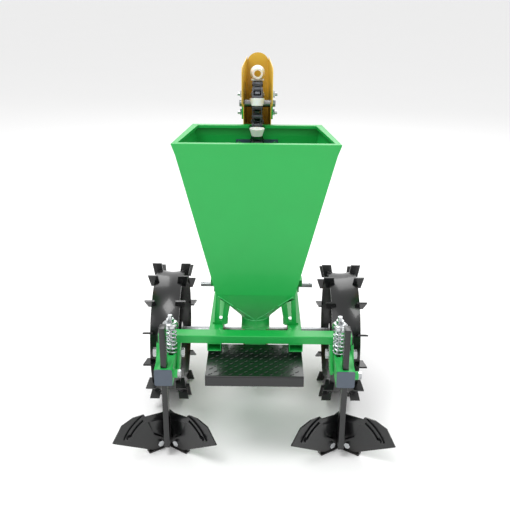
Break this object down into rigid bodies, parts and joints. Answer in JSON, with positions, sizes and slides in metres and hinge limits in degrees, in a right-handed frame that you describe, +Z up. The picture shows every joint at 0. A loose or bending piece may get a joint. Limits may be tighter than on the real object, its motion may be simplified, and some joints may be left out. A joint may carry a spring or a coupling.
{
  "type": "corn planter",
  "caption": "Tractor-mounted single-row planter: tapered seed hopper, cup chain in an open guard, lugged drive wheels, two sprung ridgers and a rear footboard.",
  "frame": {"origin": "on the ground, under the middle of the machine's width and length", "axes": "+X to the planter's right seen from behind, +Y the way it travels, +Z up"},
  "size_m": [0.7938, 0.6879, 1.0789],
  "materials": {
    "green_paint": "gloss",
    "yellow_paint": "gloss",
    "black_paint": "gloss",
    "black_plastic": "satin",
    "slate_plastic": "satin",
    "zinc_fasteners": "satin",
    "bare_steel": "satin",
    "spring_steel": "satin",
    "chain_steel": "satin",
    "cup_plastic": "satin",
    "blued_strap": "satin"
  },
  "bodies": {
    "frame": {"rear_beam": "green_paint", "beam_end_caps": "black_plastic", "frame_rails": "green_paint", "front_crossbar": "green_paint", "hitch_mast": "green_paint", "mast_braces": "green_paint", "lower_hitch_plates": "green_paint", "lower_hitch_bar": "bare_steel", "hopper_shell": "green_paint", "hopper_rim": "green_paint", "hopper_neck": "green_paint", "hopper_brackets": "green_paint", "hopper_bolts": "zinc_fasteners", "guide_strap": "blued_strap", "chain_guide": "black_paint", "elevator_guard": "yellow_paint", "guard_bolts": "zinc_fasteners", "tension_plates": "green_paint", "axle_bearings": "black_paint", "bearing_bolts": "zinc_fasteners", "footboard": "black_paint", "footboard_bolts": "zinc_fasteners", "pivot_ears": "green_paint", "pivot_bolts": "zinc_fasteners", "spring_studs": "zinc_fasteners", "spring_caps": "zinc_fasteners", "left_spring": "spring_steel", "right_spring": "spring_steel", "stop_plates": "green_paint", "cup_chain": "chain_steel", "seed_cups": "cup_plastic", "opener_socket": "green_paint"},
    "wheels": {"wheel_axle": "bare_steel", "left_wheel_rim": "black_paint", "right_wheel_rim": "black_paint", "wheel_discs": "black_paint", "wheel_hubs": "black_paint", "wheel_lugs": "black_paint", "drive_sprocket": "chain_steel"},
    "chain_head": {"head_shaft": "bare_steel", "head_sprocket": "chain_steel"},
    "opener": {"opener_shank": "black_paint", "furrow_opener": "black_paint"},
    "left_arm_set": {"left_arm": "green_paint", "left_arm_cap": "slate_plastic", "left_clamp_bolt": "zinc_fasteners"},
    "left_ridger": {"left_standard": "black_paint", "left_ridger_body": "black_paint", "left_ridger_bolts": "zinc_fasteners"},
    "left_outer_wing": {"left_outer_wing": "black_paint"},
    "left_inner_wing": {"left_inner_wing": "black_paint"},
    "right_arm_set": {"right_arm": "green_paint", "right_arm_cap": "slate_plastic", "right_clamp_bolt": "zinc_fasteners"},
    "right_ridger": {"right_standard": "black_paint", "right_ridger_body": "black_paint", "right_ridger_bolts": "zinc_fasteners"},
    "right_inner_wing": {"right_inner_wing": "black_paint"},
    "right_outer_wing": {"right_outer_wing": "black_paint"}
  },
  "joints": [
    {"name": "wheel_spin", "type": "hinge", "parent": "frame", "child": "wheels", "pos_m": [0, 0.07, 0.21504], "axis": [-1, 0, 0], "continuous": true, "deforming": ["cup_chain", "seed_cups"]},
    {"name": "head_turn", "type": "hinge", "parent": "frame", "child": "chain_head", "pos_m": [0, 0.07, 0.95164], "axis": [-1, 0, 0], "continuous": true},
    {"name": "opener_depth", "type": "slide", "parent": "frame", "child": "opener", "axis": [0, 0, 1], "range_m": [-0.08, 0.06]},
    {"name": "left_arm_lift", "type": "hinge", "parent": "frame", "child": "left_arm_set", "pos_m": [-0.25, -0.166, 0.27], "axis": [-1, 0, 0], "range_deg": [0, 18], "stiffness_Nm_per_rad": 45, "springref_deg": -17.19, "deforming": ["left_spring"]},
    {"name": "left_ridger_height", "type": "slide", "parent": "left_arm_set", "child": "left_ridger", "axis": [0, 0, 1], "range_m": [-0.06, 0.07]},
    {"name": "left_outer_wing_fold", "type": "hinge", "parent": "left_ridger", "child": "left_outer_wing", "pos_m": [-0.27508, -0.2638, 0.024], "axis": [-0.5446, 0.8387, 0], "range_deg": [0, 30]},
    {"name": "left_inner_wing_fold", "type": "hinge", "parent": "left_ridger", "child": "left_inner_wing", "pos_m": [-0.22492, -0.2638, 0.024], "axis": [-0.5446, -0.8387, 0], "range_deg": [0, 30]},
    {"name": "right_arm_lift", "type": "hinge", "parent": "frame", "child": "right_arm_set", "pos_m": [0.25, -0.166, 0.27], "axis": [-1, 0, 0], "range_deg": [0, 18], "stiffness_Nm_per_rad": 45, "springref_deg": -17.19, "deforming": ["right_spring"]},
    {"name": "right_ridger_height", "type": "slide", "parent": "right_arm_set", "child": "right_ridger", "axis": [0, 0, 1], "range_m": [-0.06, 0.07]},
    {"name": "right_inner_wing_fold", "type": "hinge", "parent": "right_ridger", "child": "right_inner_wing", "pos_m": [0.22492, -0.2638, 0.024], "axis": [-0.5446, 0.8387, 0], "range_deg": [0, 30]},
    {"name": "right_outer_wing_fold", "type": "hinge", "parent": "right_ridger", "child": "right_outer_wing", "pos_m": [0.27508, -0.2638, 0.024], "axis": [-0.5446, -0.8387, 0], "range_deg": [0, 30]}
  ],
  "couplings": [
    {"joint": "head_turn", "follows": "wheel_spin", "ratio": 1}
  ]
}
